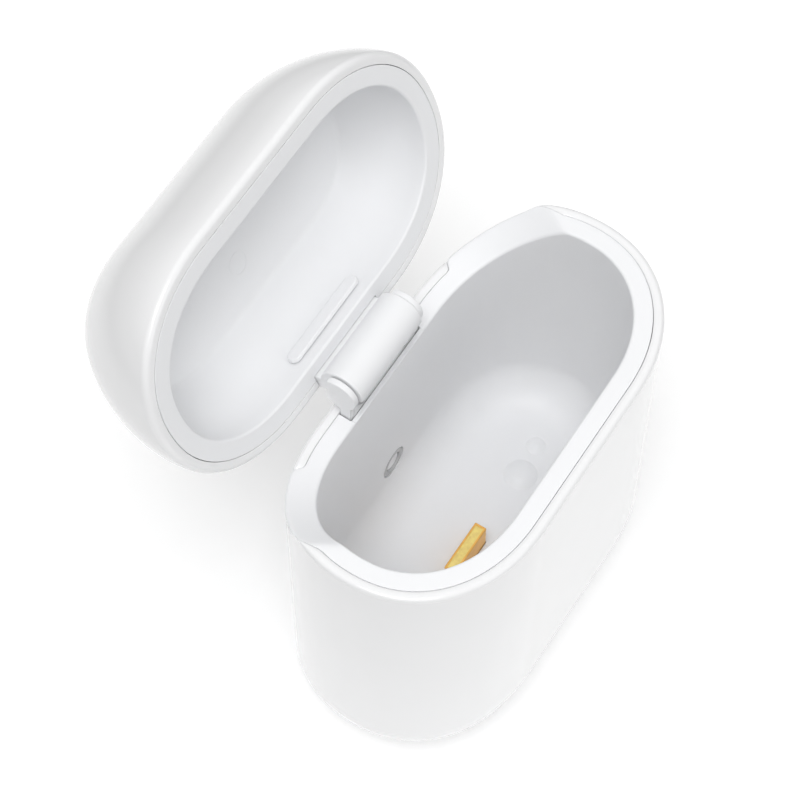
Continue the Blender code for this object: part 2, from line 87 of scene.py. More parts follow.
cap_length = 13.5 * MM
cap_squareness = 2.15
straight_half = half_width - cap_length
bottom_radius = 6.8 * MM
shell_wall = 0.75 * MM
bottom_wall = 0.9 * MM
rim_width = 2.74 * MM
liner_wall = 0.9 * MM
cavity_floor_z = 9.5 * MM
cavity_draft = 0.4 * MM
cavity_corner = 4.2 * MM
rim_slope = 0.80
slope_start_inner = 2.0 * MM
slope_start_outer = 5.0 * MM
fold_round = 0.35 * MM
lip_seam = 0.95 * MM
hairline = 0.06 * MM
lip_round = 0.45 * MM
edge_round = 0.25 * MM
micro = 0.035 * MM  # the fine chamfer beside every hairline
cover_height = 0.5 * MM  # the liner's edge, where it laps over the shell's lip
cover_start, cover_end = 12.2 * MM, 12.9 * MM  # along X, where the lap runs out to the sides
crease_at = (18.2 * MM, 3.0 * MM)
crease_depth = 0.035 * MM
ledge_width = 0.45 * MM  # liner left standing between the well and the hinge's pocket
ledge_drop = 0.12 * MM
gap = 0.12 * MM  # round the hinge bracket in its pocket
port_lead = 0.72 * MM  # how far the port's bezel reaches in

lid_shell_wall = 1.08 * MM
lid_rim_width = 3.0 * MM
lid_wall = 0.9 * MM
lid_lip = 0.606 * MM
crown_inset = 10.1 * MM
crown_height = 13.9 * MM
crown_power = 1.67
lid_ceiling = 8.3 * MM


# ---------------------------------------------------------------- materials
def node(tree, kind, **settings):
    made = tree.nodes.new(kind)
    for key, value in settings.items():
        setattr(made, key, value)
    return made


def noise(tree, coords, scale, detail=3.0, rough=0.5):
    made = node(tree, "ShaderNodeTexNoise")
    made.inputs["Scale"].default_value = scale
    made.inputs["Detail"].default_value = detail
    made.inputs["Roughness"].default_value = rough
    tree.links.new(coords, made.inputs["Vector"])
    return made.outputs["Fac"]


def ranged(tree, value, low, high):
    made = node(tree, "ShaderNodeMapRange")
    made.inputs["From Min"].default_value = 0.3
    made.inputs["From Max"].default_value = 0.7
    made.inputs["To Min"].default_value = low
    made.inputs["To Max"].default_value = high
    tree.links.new(value, made.inputs["Value"])
    return made.outputs["Result"]


def finish_material(
    name,
    colour,
    roughness,
    metallic=0.0,
    spread=0.02,
    mottle_scale=260.0,
    rough_spread=0.03,
    grain=((700.0, 0.0000012),),
    stretch=(1.0, 1.0, 1.0),
    coat=0.0,
):
    """A material with slight mottling, uneven gloss, and layers of surface relief in metres."""
    material = bpy.data.materials.new(name)
    material.use_nodes = True
    tree = material.node_tree
    shader = tree.nodes["Principled BSDF"]
    shader.inputs["Metallic"].default_value = metallic
    shader.inputs["IOR"].default_value = 1.5
    shader.inputs["Coat Weight"].default_value = coat
    shader.inputs["Coat Roughness"].default_value = 0.05
    coords = node(tree, "ShaderNodeTexCoord").outputs["Object"]
    mapping = node(tree, "ShaderNodeMapping")
    mapping.inputs["Scale"].default_value = stretch
    tree.links.new(coords, mapping.inputs["Vector"])
    placed = mapping.outputs["Vector"]
    mix = node(tree, "ShaderNodeMix", data_type="RGBA")
    mix.inputs["A"].default_value = (*[c * (1 - spread) for c in colour], 1)
    mix.inputs["B"].default_value = (*[min(1.0, c * (1 + spread * 0.5)) for c in colour], 1)
    tree.links.new(
        ranged(tree, noise(tree, coords, mottle_scale), 0, 1), mix.inputs["Factor"]
    )
    tree.links.new(mix.outputs["Result"], shader.inputs["Base Color"])
    uneven = noise(tree, placed, mottle_scale * 2.7, 5.0, 0.6)
    tree.links.new(
        ranged(tree, uneven, max(0.02, roughness - rough_spread), roughness + rough_spread),
        shader.inputs["Roughness"],
    )
    previous = None
    for scale, depth in grain:
        bump = node(tree, "ShaderNodeBump")
        bump.inputs["Strength"].default_value = 1.0
        bump.inputs["Distance"].default_value = depth
        tree.links.new(noise(tree, placed, scale, 2.0), bump.inputs["Height"])
        if previous:
            tree.links.new(previous, bump.inputs["Normal"])
        previous = bump.outputs["Normal"]
    tree.links.new(previous, shader.inputs["Normal"])
    return material


gloss_white = finish_material(
    "gloss_white", (0.88, 0.882, 0.888), 0.10, spread=0.006, mottle_scale=160,
    rough_spread=0.012, grain=((420.0, 0.0000010),), coat=0.3,
)
satin_white = finish_material(
    "satin_white", (0.88, 0.885, 0.896), 0.34, spread=0.008, mottle_scale=220,
    rough_spread=0.02, grain=((700.0, 0.0000006), (3600.0, 0.00000035)),
)
cavity_white = finish_material(
    "cavity_white", (0.875, 0.881, 0.894), 0.44, spread=0.006, mottle_scale=200,
    rough_spread=0.02, grain=((500.0, 0.0000006), (3600.0, 0.00000025)),
)
ring_grey = finish_material(
    "ring_grey", (0.52, 0.52, 0.53), 0.36, spread=0.05, grain=((9000.0, 0.000002),),
)
gold = finish_material(
    "gold", (0.95, 0.53, 0.13), 0.36, 0.6, spread=0.08, mottle_scale=900, rough_spread=0.05,
    grain=((5200.0, 0.0000025), (16000.0, 0.000001)), stretch=(0.25, 1.0, 1.0),
)
gold_engraved = finish_material(
    "gold_engraved", (1.0, 0.76, 0.25), 0.42, 0.4, spread=0.15, mottle_scale=2400,
    rough_spread=0.06, grain=((8000.0, 0.000006),), stretch=(0.4, 1.0, 1.0),
)
steel = finish_material(
    "steel", (0.60, 0.60, 0.61), 0.36, 1.0, spread=0.06, mottle_scale=700, rough_spread=0.06,
    grain=((9000.0, 0.0000018),), stretch=(0.15, 1.0, 1.0),
)
nickel = finish_material(
    "magnet_nickel", (0.50, 0.50, 0.52), 0.38, 1.0, spread=0.08, mottle_scale=1200,
    rough_spread=0.06, grain=((7000.0, 0.000002),),
)
black_plastic = finish_material(
    "black_plastic", (0.028, 0.028, 0.032), 0.45, spread=0.2, mottle_scale=1500,
    grain=((11000.0, 0.000003),),
)
board_green = finish_material(
    "board_green", (0.02, 0.16, 0.08), 0.36, spread=0.35, mottle_scale=1700,
    grain=((4200.0, 0.000012),),
)
battery_foil = finish_material(
    "battery_foil", (0.42, 0.44, 0.47), 0.36, 0.6, spread=0.08, mottle_scale=500,
    grain=((420.0, 0.00004), (6000.0, 0.000003)),
)
flex_amber = finish_material(
    "flex_amber", (0.45, 0.22, 0.04), 0.32, spread=0.2, mottle_scale=2200,
    grain=((3800.0, 0.000006),), stretch=(3.0, 1.0, 0.3),
)


# ---------------------------------------------------------------- mesh helpers
def to_object(name, points, faces, material=None, body=None, slot=None, sharp=40):
    mesh = bpy.data.meshes.new(name)
    mesh.from_pydata([tuple(p) for p in points], [], faces)
    bm = bmesh.new()
    bm.from_mesh(mesh)
    bmesh.ops.recalc_face_normals(bm, faces=bm.faces[:])
    bm.to_mesh(mesh)
    bm.free()
    obj = bpy.data.objects.new(name, mesh)
    bpy.context.scene.collection.objects.link(obj)
    if material:
        mesh.materials.append(material)
    obj["sharp"] = sharp
    if body:
        obj["body"] = body
        obj["slot"] = slot
    return obj


def looped(name, loops, closed=False, **settings):
    """A skin through loops of points, its ends filled, or its last loop joined to its first."""
    n = len(loops[0])
    points = [p for loop in loops for p in loop]
    faces = []
    for k in range(len(loops) if closed else len(loops) - 1):
        a, b = k * n, (k + 1) % len(loops) * n
        faces += [(a + i, a + (i + 1) % n, b + (i + 1) % n, b + i) for i in range(n)]
    if not closed:
        faces += [tuple(range(n)), tuple(range(len(points) - n, len(points)))]
    return to_object(name, points, faces, **settings)


def ends_arc():
    """Turns round one rounded end, evenly spaced along its edge."""
    fine = np.linspace(0, math.pi / 2, 4001)
    x = cap_length * np.cos(fine) ** (2 / cap_squareness)
    y = half_depth * np.sin(fine) ** (2 / cap_squareness)
    run = np.concatenate([[0], np.cumsum(np.hypot(np.diff(x), np.diff(y)))])
    quarter = np.interp(np.linspace(0, run[-1], 57), run, fine)
    return np.concatenate([quarter[::-1], -quarter[1:]])


def make_stations():
    turn = ends_arc()
    along = np.linspace(-straight_half, straight_half, 33)[1:-1]
    c = np.abs(np.cos(turn)) ** (2 / cap_squareness)
    s = np.sign(np.sin(turn)) * np.abs(np.sin(turn)) ** (2 / cap_squareness)
    ends = np.full(len(turn), straight_half)
    start = np.concatenate([ends, along[::-1], -ends, along])
    reach_x = np.concatenate([c, 0 * along, -c, 0 * along])
    reach_y = np.concatenate([s, 0 * along - 1, -s, 0 * along + 1])
    return start, reach_x, reach_y


start_x, reach_x, reach_y = make_stations()
count = len(start_x)


def outline(inset):
    """The case's plan shape, in from its outside by an inset that may differ between places."""
    return start_x + reach_x * (cap_length - inset), reach_y * (half_depth - inset)


def smoothstep(low, high, value):
    t = np.clip((value - low) / (high - low), 0, 1)
    return t * t * (3 - 2 * t)


def rim(inset):
    """Height of the base's rim surface, which falls away over its rear half."""
    y = outline(inset)[1]
    across = np.clip(inset / rim_width, 0, 1)
    start = slope_start_outer + (slope_start_inner - slope_start_outer) * across
    past = y - start
    return base_height - rim_slope * 0.5 * (past + np.sqrt(past**2 + fold_round**2))


def skin(name, rings, **settings):
    """A closed skin through rings of (inset, height), the first and the last filled."""
    loops = []
    for inset, z in rings:
        x, y = outline(inset)
        loops.append(np.stack([x, y, np.broadcast_to(z, x.shape)], axis=1))
    return looped(name, loops, **settings)


def box(name, low, high, bevel=0.0, segments=3, **settings):
    low, high = Vector(low), Vector(high)
    bm = bmesh.new()
    bmesh.ops.create_cube(bm, size=1.0)
    bmesh.ops.scale(bm, vec=high - low, verts=bm.verts[:])
    bmesh.ops.translate(bm, vec=(low + high) / 2, verts=bm.verts[:])
    if bevel:
        bmesh.ops.bevel(
            bm, geom=bm.edges[:], offset=bevel, segments=segments, affect="EDGES", profile=0.5
        )
    points = [v.co.copy() for v in bm.verts]
    faces = [tuple(v.index for v in f.verts) for f in bm.faces]
    bm.free()
    return to_object(name, points, faces, **settings)


def turned(name, centre, axis, profile, segments=64, **settings):
    """A round solid through (distance along the axis, radius) pairs."""
    direction = {"X": (1, 2, 0), "Y": (2, 0, 1), "Z": (0, 1, 2)}[axis]
    loops = []
    for along, radius in profile:
        loop = []
        for i in range(segments):
            angle = 2 * math.pi * i / segments
            local = (radius * math.cos(angle), radius * math.sin(angle), along)
            world = [0, 0, 0]
            for value, place in zip(local, direction):
                world[place] = value
            loop.append(Vector(world) + Vector(centre))
        loops.append(loop)
    return looped(name, loops, **settings)


def prism(name, outline_points, low, high, axis="X", **settings):
    """An outline of two coordinates pushed along the third."""
    place = "XYZ".index(axis)
    loops = [[(*p[:place], end, *p[place:]) for p in outline_points] for end in (low, high)]
    return looped(name, loops, **settings)


def slot_outline(reach, radius, rise, per_end):
    """A rounded slot lying along X, its middle raised by rise."""
    points = []
    for side in (1, -1):
        for i in range(per_end):
            angle = -math.pi / 2 + math.pi * i / (per_end - 1)
            x, z = reach + radius * math.cos(angle), radius * math.sin(angle)
            points.append((side * x, side * z + rise))
    return points


def cut(target, *cutters, operation="DIFFERENCE"):
    for cutter in cutters:
        modifier = target.modifiers.new("cut", "BOOLEAN")
        modifier.operation = operation
        modifier.solver = "EXACT"
        modifier.object = cutter
    clean(target)
    for cutter in cutters:
        bpy.data.objects.remove(cutter, do_unlink=True)


def hole_for(screw, radius, below, above):
    """An upright round cutter at a screw, reaching past both of its ends."""
    low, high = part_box(screw)
    middle = (low + high) / 2
    profile = [(-below, radius), (high.z - low.z + above, radius)]
    return turned("screw_hole", (middle.x, middle.y, low.z), "Z", profile)


def bevelled(obj, width, segments=3, angle=50):
    modifier = obj.modifiers.new("bevel", "BEVEL")
    modifier.width = width
    modifier.segments = segments
    modifier.limit_method = "ANGLE"
    modifier.angle_limit = math.radians(angle)
    modifier.use_clamp_overlap = True
    return clean(obj)


def place_piece(obj, *stands_for):
    """Smooth shading, then the piece rides on its body and takes the place of its CAD nodes."""
    obj.data.shade_smooth()
    obj.data.set_sharp_from_angle(angle=math.radians(obj["sharp"]))
    weighted = obj.modifiers.new("weighted", "WEIGHTED_NORMAL")
    weighted.keep_sharp = True
    weighted.weight = 80
    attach(obj, obj["body"])
    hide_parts(*stands_for)
    return obj


# ---------------------------------------------------------------- base: outer shell
def bottom_rings(wall, steps):
    rings = []
    for i in range(steps):
        turn = math.pi / 2 * (1 - i / (steps - 1))
        inner = bottom_radius - wall
        rings.append(
            (bottom_radius - inner * math.cos(turn), bottom_radius - inner * math.sin(turn))
        )
    return rings


edge_x, edge_y = outline(0.0)
past_cover = smoothstep(cover_start, cover_end, np.abs(edge_x))
away_from_hinge = np.where(edge_y > 0, past_cover, 1.0)
narrowing = smoothstep(3.2 * MM, 6.3 * MM, edge_y) * away_from_hinge
covered = smoothstep(6.0 * MM, 6.8 * MM, edge_y) * away_from_hinge

lip_width = np.maximum(lip_seam * (1 - narrowing), 0.05 * MM)
lip_bend = np.minimum(lip_round, 0.85 * lip_width)
lip_drop = (cover_height + hairline) * covered

shell_rings = bottom_rings(0.0, 16)
wall_top = rim(np.zeros(count)) - lip_drop - lip_bend
for share in (0.25, 0.5, 0.75, 0.92):
    shell_rings.append((0.0, bottom_radius + (wall_top - bottom_radius) * share))
for turn in np.linspace(0, math.pi / 2, 7):
    inset = lip_bend * (1 - math.cos(turn))
    shell_rings.append((inset, rim(inset) - lip_drop - lip_bend * (1 - math.sin(turn))))
under_cover = rim(lip_width) - cover_height - hairline
shell_rings += [
    (lip_width - np.minimum(micro, 0.1 * lip_width), rim(lip_width) - lip_drop),
    (lip_width, rim(lip_width) - lip_drop - micro),
    (lip_width, np.minimum(under_cover, rim(lip_width) - lip_drop - 1.5 * micro)),
    (lip_seam, under_cover - micro),
    (lip_seam, rim(lip_seam) - 3.4 * MM),
    (shell_wall, rim(shell_wall) - 3.8 * MM),
]
shell_rings += [
    (inset, z + bottom_wall - shell_wall) for inset, z in bottom_rings(shell_wall, 10)[::-1]
]
base_shell = skin(
    "base_outer_shell_gloss",
    shell_rings,
    material=gloss_white,
    body="base",
    slot="gloss_white",
    sharp=50,
)

# the charging port's opening, and its bezel
port_low, port_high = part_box("port_shell")
port_z = (port_low.z + port_high.z) / 2
port_size = (port_high.x - port_low.x, port_high.z - port_low.z)
bezel_low, bezel_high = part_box("port_bezel")
bezel_border = (bezel_high.x - bezel_low.x - port_size[0]) / 2


def slot_points(grow):
    """The port's outline, grown all round."""
    reach = (port_size[0] - port_size[1]) / 2
    return slot_outline(reach, port_size[1] / 2 + grow, port_z, 24)


def back_face(z):
    """Y of the shell's back, which rounds under towards the bottom."""
    below = max(0.0, bottom_radius - z)
    return half_depth - bottom_radius + math.sqrt(bottom_radius**2 - below**2)


cut(
    base_shell,
    prism(
        "port_opening", slot_points(bezel_border + hairline), half_depth / 2, 2 * half_depth, "Y"
    ),
)
place_piece(base_shell, "base_outer_shell")

mouth_gap = 0.09 * MM  # bezel to the port's shell
bezel_steps = (
    (bezel_border, -port_lead),
    (bezel_border, -0.06 * MM),
    (bezel_border - 0.03 * MM, -0.015 * MM),
    (bezel_border - 0.08 * MM, 0.0),
    (0.22 * MM, 0.0),
    (0.14 * MM, -0.02 * MM),
    (0.10 * MM, -0.08 * MM),
    (mouth_gap, -0.16 * MM),
    (mouth_gap, -port_lead),
)
bezel_loops = [
    [(x, back_face(z) + out, z) for x, z in slot_points(grow)] for grow, out in bezel_steps
]
bezel = looped(
    "port_bezel_ring",
    bezel_loops,
    closed=True,
    material=satin_white,
    body="base",
    slot="satin_white",
)
place_piece(bezel, "port_bezel")

# ---------------------------------------------------------------- base: liner with the well
liner_edge = (lip_seam + hairline) * (1 - narrowing)
liner_bend = (0.05 + 0.25 * covered) * MM
liner_inside = lip_seam + hairline
floor_rings = []
for turn in np.linspace(0, math.pi / 2, 16)[::-1]:
    floor_rings.append(
        (
            rim_width + cavity_draft + cavity_corner * (1 - math.cos(turn)),
            cavity_floor_z + cavity_corner * (1 - math.sin(turn)),
        )
    )
liner_rings = list(floor_rings)
wall_foot_z = cavity_floor_z + cavity_corner
wall_top_z = rim(rim_width) - edge_round
well_x, well_y = outline(rim_width)
crease_station = np.argmin(np.hypot(well_x - crease_at[0], well_y - crease_at[1]))
for share in (0.15, 0.3, 0.45, 0.6, 0.68, 0.74, 0.8, 0.86, 0.92, 0.96):
    inset = np.full(count, rim_width + cavity_draft * (1 - share))
    if 0.7 < share < 0.95:
        inset[crease_station] -= crease_depth
    liner_rings.append((inset, wall_foot_z + (wall_top_z - wall_foot_z) * share))
for turn in np.linspace(0, math.pi / 2, 7):
    inset = rim_width - edge_round * (1 - math.cos(turn))
    liner_rings.append((inset, rim(inset) - edge_round * (1 - math.sin(turn))))
rim_middle = 1.5 * MM
for inset in (2.2 * MM, 1.95 * MM, 1.7 * MM, rim_middle):
    liner_rings.append((inset, rim(inset)))
for share in (0.5, 0.0):
    inset = liner_edge + liner_bend + (rim_middle - liner_edge - liner_bend) * share
    liner_rings.append((inset, rim(inset)))
for turn in np.linspace(0, math.pi / 2, 5)[1:]:
    inset = liner_edge + liner_bend * (1 - math.sin(turn))
    liner_rings.append((inset, rim(inset) - liner_bend * (1 - math.cos(turn))))
cover_under = rim(liner_edge) - cover_height
liner_rings += [
    (liner_edge, cover_under),
    (np.maximum(liner_edge, liner_inside), cover_under - 0.01 * MM),
    (liner_inside, rim(liner_inside) - 3.0 * MM),
    (rim_width - liner_wall, rim(rim_width - liner_wall) - 3.8 * MM),
]
liner_rings += [(inset - liner_wall, z - liner_wall) for inset, z in floor_rings[::-1]]
base_liner = skin(
    "base_liner_satin",
    liner_rings,
    material=cavity_white,
    body="base",
    slot="satin_white",
    sharp=50,
)

# the hinge's pocket, with a lower ledge left along the well's edge
knuckle_low, knuckle_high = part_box("hinge_knuckle")
bracket_low, bracket_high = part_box("hinge_bracket")
pocket_half = bracket_high.x + gap
pocket_floor = bracket_low.z - gap
pocket_front = half_depth - rim_width + ledge_width
pocket_back = half_depth - 0.5 * MM
rear_rim_z = base_height - rim_slope * (half_depth - rim_width - slope_start_inner)
cut(
    base_liner,
    box(
        "pocket",
        (-pocket_half, pocket_front, pocket_floor),
        (pocket_half, pocket_back, base_height),
        0.08 * MM,
    ),
)
cut(
    base_liner,
    box(
        "ledge",
        (-pocket_half, half_depth - rim_width - 1.2 * MM, rear_rim_z - ledge_drop),
        (pocket_half, pocket_back, base_height),
        0.30 * MM,
        4,
    ),
)

# holes: the button in the rear wall, the contact and the board screws in the floor
ring_low, ring_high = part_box("setup_button_ring")
button_z = (ring_low.z + ring_high.z) / 2
ring_radius = (ring_high.x - ring_low.x) / 2
wall_face = half_depth - rim_width - 0.75 * cavity_draft
hole_profile = [(-2 * MM, ring_radius + hairline), (3 * MM, ring_radius + hairline)]
contact_low, contact_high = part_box("charge_contact")
round_contact = Vector((1, 1, 0)) * 0.05 * MM
over_contact = round_contact + Vector((0, 0, 5 * MM))
cut(base_liner, turned("button_hole", (0, wall_face, button_z), "Y", hole_profile))
cut(base_liner, box("contact_hole", contact_low - round_contact, contact_high + over_contact))
for side in ("left", "right"):
    cut(base_liner, hole_for("board_screw_" + side, 0.65 * MM, 2 * MM, 0.1 * MM))


def boss(name, x, y, radius, height, rings=14):
    """A low domed boss on the floor of the well."""
    profile = [(-0.3 * MM, radius)]
    for i in range(rings + 1):
        share = 1 - i / rings
        rise = height * (1 - share**2.2)
        profile.append((rise, max(radius * share, 0.02 * MM)))
    return turned(name, (x, y, cavity_floor_z), "Z", profile, 48)


cut(
    base_liner,
    boss("boss_large", 7.9 * MM, -0.9 * MM, 1.7 * MM, 0.55 * MM),
    boss("boss_small", 11.4 * MM, -0.5 * MM, 1.0 * MM, 0.2 * MM),
    operation="UNION",
)
place_piece(base_liner, "base_liner")

# ---------------------------------------------------------------- button in the rear wall
button_low, button_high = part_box("setup_button")
button_radius = (button_high.x - button_low.x) / 2
ring_front, ring_back = ring_low.y + 0.11 * MM, ring_high.y
inner = button_radius + 0.07 * MM
ring_profile = (
    (ring_back, inner),
    (ring_front + 0.12 * MM, inner),
    (ring_front + 0.04 * MM, inner + 0.03 * MM),
    (ring_front, inner + 0.08 * MM),
    (ring_front, ring_radius - 0.08 * MM),
    (ring_front + 0.04 * MM, ring_radius - 0.03 * MM),
    (ring_front + 0.12 * MM, ring_radius),
    (ring_back, ring_radius),
)
button_ring = turned(
    "setup_button_bezel",
    (0, 0, button_z),
    "Y",
    ring_profile,
    closed=True,
    material=ring_grey,
    body="base",
    slot="satin_white",
)
place_piece(button_ring, "setup_button_ring")
cap_depth = button_high.y - button_low.y
place_piece(
    turned(
        "setup_button_cap", (0, button_low.y, button_z), "Y",
        [
            (0.10 * MM, 0.05 * button_radius), (0.09 * MM, 0.3 * button_radius),
            (0.05 * MM, 0.55 * button_radius), (0.01 * MM, 0.72 * button_radius),
            (0.0, 0.82 * button_radius), (0.03 * MM, 0.93 * button_radius),
            (0.10 * MM, button_radius), (cap_depth, button_radius),
        ],
        material=satin_white, body="button", slot="satin_white",
    ),
    "setup_button",
)

# ---------------------------------------------------------------- gold contact
contact = box(
    "charge_contact_block",
    contact_low,
    contact_high,
    0.10 * MM,
    material=gold,
    body="base",
    slot="gold",
)
border = Vector((0.22 * MM, 0.20 * MM, 0))
panel_z = contact_high.z - 0.09 * MM
panel_low = Vector((contact_low.x, contact_low.y, panel_z)) + border
panel_high = contact_high + Vector((0, 0, 0.2 * MM)) - border
cut(contact, box("panel", panel_low, panel_high))
contact.data.materials.append(gold_engraved)
for face in contact.data.polygons:
    if face.normal.z > 0.9 and abs(face.center.z - panel_z) < 0.01 * MM:
        face.material_index = 1
place_piece(contact, "charge_contact")

# ---------------------------------------------------------------- hinge knuckle
axis_y, axis_z = hinge_at.y, hinge_at.z
knuckle_radius = 2.2 * MM
knuckle_back = 1.12 * MM
root_front = 0.8 * MM
root_back = half_depth - axis_y - 0.1 * MM
root_top = lid_rim_z - axis_z + 1.1 * MM
join = math.asin(root_front / knuckle_radius)
end = 2 * math.pi - math.acos(knuckle_back / knuckle_radius)
knuckle_outline = [(root_back, root_top), (-root_front, root_top)]
for i in range(61):
    turn = math.pi / 2 + join + (end - math.pi / 2 - join) * i / 60
    knuckle_outline.append((knuckle_radius * math.cos(turn), knuckle_radius * math.sin(turn)))
flat_top = knuckle_radius * math.sin(math.acos(knuckle_back / knuckle_radius)) * 0.9
knuckle_outline += [(knuckle_back, flat_top), (root_back, flat_top + 0.4 * MM)]
knuckle_half = knuckle_high.x
knuckle = prism(
    "hinge_knuckle_block",
    [(axis_y + y, axis_z + z) for y, z in knuckle_outline],
    -knuckle_half, knuckle_half,
    material=satin_white, body="lid", slot="satin_white", sharp=35,
)
bevelled(knuckle, 0.14 * MM)
cut(
    knuckle,
    turned("bore", (0, axis_y, axis_z), "X", [(-0.02, 0.66 * MM), (0.02, 0.66 * MM)], 48),
)
knuckle.data.transform(open_lid)
place_piece(knuckle, "hinge_knuckle")


# ---------------------------------------------------------------- hinge bracket, with closed ears
ear_radius = 1.9 * MM
ear_inner = knuckle_half + 0.10 * MM
bracket_front = pocket_front + gap
plate_half = bracket_high.x - 0.1 * MM
leg_angle = math.acos((axis_y - bracket_front) / ear_radius)
ear_back_angle = math.acos(knuckle_back / ear_radius)
ear_outline = [(bracket_front, bracket_low.z)]
for i in range(41):
    turn = math.pi + leg_angle + (ear_back_angle - math.pi - leg_angle) * i / 40
    ear_outline.append((axis_y + ear_radius * math.cos(turn), axis_z + ear_radius * math.sin(turn)))
plate_back = bracket_front + 1.1 * MM
ear_outline += [
    (axis_y + knuckle_back, axis_z - 1.4 * MM),
    (plate_back, axis_z - ear_radius - 0.2 * MM),
    (plate_back, bracket_low.z),
]
bracket = box(
    "hinge_bracket_ears",
    (-plate_half, bracket_front, bracket_low.z), (plate_half, plate_back, bracket_low.z + 0.7 * MM),
    material=satin_white, body="base", slot="satin_white", sharp=35,
)
ears = []
for low, high in ((-bracket_high.x, -ear_inner), (ear_inner, bracket_high.x)):
    ears.append(prism("ear", ear_outline, low, high))
for ear in ears:
    bevelled(ear, 0.1 * MM)
cut(bracket, *ears, operation="UNION")
for side in ("left", "right"):
    cut(bracket, hole_for("bracket_screw_" + side, 0.38 * MM, 1 * MM, 1 * MM))
bore_end = ear_inner + 0.4 * MM
bore_profile = [(-bore_end, 0.63 * MM), (bore_end, 0.63 * MM)]
cut(bracket, turned("bore", (0, axis_y, axis_z), "X", bore_profile, 48))
place_piece(bracket, "hinge_bracket")
pin_end = ear_inner + 0.35 * MM
pin_profile = (
    (-pin_end, 0.5 * MM),
    (-pin_end + 0.1 * MM, 0.6 * MM),
    (pin_end - 0.1 * MM, 0.6 * MM),
    (pin_end, 0.5 * MM),
)
pin = turned(
    "hinge_pin_rod",
    (0, axis_y, axis_z),
    "X",
    pin_profile,
    48,
    material=steel,
    body="base",
    slot="steel",
)
place_piece(pin, "hinge_pin")


# ---------------------------------------------------------------- lid
def crown_rings(wall, top, steps, ceiling=None):
    """Rings up the lid's crown. A ceiling flattens them, with a small bend where they meet it."""
    rings = []
    start = lid_depth - crown_height
    for i in range(steps):
        turn = math.pi / 2 * i / (steps - 1)
        share = math.sin(turn) ** (2 / crown_power)
        close = 1 - max(0.0, 1 - share**crown_power) ** (1 / crown_power)
        height = start + (top - start) * share
        if ceiling:
            bend = 0.12 * MM
            height = -bend * math.log(math.exp(-height / bend) + math.exp(-ceiling / bend))
        rings.append((wall + (crown_inset - wall) * close, lid_rim_z + height))
    return rings


lid_shell_rings = crown_rings(0.0, lid_depth, 34)[::-1]
for turn in np.linspace(math.pi / 2, 0, 8):
    lid_shell_rings.append(
        (lid_lip * (1 - math.sin(turn)), lid_rim_z + lid_lip * (1 - math.cos(turn)))
    )
lid_shell_rings += [
    (lid_shell_wall - micro, lid_rim_z),
    (lid_shell_wall, lid_rim_z + micro),
    (lid_shell_wall, lid_rim_z + 1.0 * MM),
]
lid_shell_rings += crown_rings(lid_shell_wall, lid_depth - 1.0 * MM, 16)[1:]
lid_shell = skin(
    "lid_outer_shell_gloss",
    lid_shell_rings,
    material=gloss_white,
    body="lid",
    slot="gloss_white",
    sharp=35,
)

lid_flange = lid_shell_wall + hairline
lid_liner_rings = crown_rings(lid_rim_width, lid_depth - 3.1 * MM, 60, lid_ceiling)[::-1]
for turn in np.linspace(0, math.pi / 2, 7):
    lid_liner_rings.append(
        (
            lid_rim_width - edge_round * (1 - math.cos(turn)),
            lid_rim_z + edge_round * (1 - math.sin(turn)),
        )
    )
lid_liner_rings += [
    (lid_flange + micro, lid_rim_z),
    (lid_flange, lid_rim_z + micro),
    (lid_flange, lid_rim_z + 1.0 * MM),
    (lid_rim_width - lid_wall, lid_rim_z + 1.4 * MM),
]
lid_liner_rings += crown_rings(lid_rim_width - lid_wall, lid_depth - 2.2 * MM, 16)[1:]
lid_liner = skin(
    "lid_liner_satin",
    lid_liner_rings,
    material=cavity_white,
    body="lid",
    slot="cavity_white",
    sharp=35,
)


def notch():
    """The room for the knuckle's root, cut from both lid skins."""
    front = axis_y - root_front - 0.1 * MM
    return box(
        "notch",
        (-knuckle_half - 0.1 * MM, front, lid_rim_z - 3 * MM),
        (knuckle_half + 0.1 * MM, front + 4 * MM, axis_z + root_top + 0.1 * MM),
    )


cut(lid_shell, notch())
cut(lid_liner, notch())

# a faint round mark on the ceiling, left by the mould
mark_centre = (-0.75 * MM, 2.1 * MM, lid_rim_z + lid_ceiling)
mark_profile = [
    (along * MM, radius * MM)
    for along, radius in ((-0.2, 1.08), (0.03, 1.08), (0.03, 1.12), (-0.2, 1.12))
]
cut(lid_liner, turned("mark", mark_centre, "Z", mark_profile, closed=True))

# the raised bar on the rear wall of the hollow
bar_low, bar_high = shut_box("lid_hinge_cover")
bar_z = (bar_low.z + bar_high.z) / 2
bar_radius = (bar_high.z - bar_low.z) / 2
bar_reach = (bar_high.x - bar_low.x) / 2 - bar_radius
bar_steps = (
    (0.0, bar_high.y),
    (0.0, bar_low.y + 0.16 * MM),
    (-0.05 * MM, bar_low.y + 0.06 * MM),
    (-0.16 * MM, bar_low.y),
)
bar_loops = [
    [(x, y, z) for x, z in slot_outline(bar_reach, bar_radius + grow, bar_z, 20)]
    for grow, y in bar_steps
]
bar = looped(
    "lid_hinge_bar", bar_loops, material=cavity_white, body="lid", slot="cavity_white"
)

for piece, stood_for in (
    (lid_shell, "lid_outer_shell"), (lid_liner, "lid_liner"), (bar, "lid_hinge_cover")
):
    piece.data.transform(open_lid)
    place_piece(piece, stood_for)

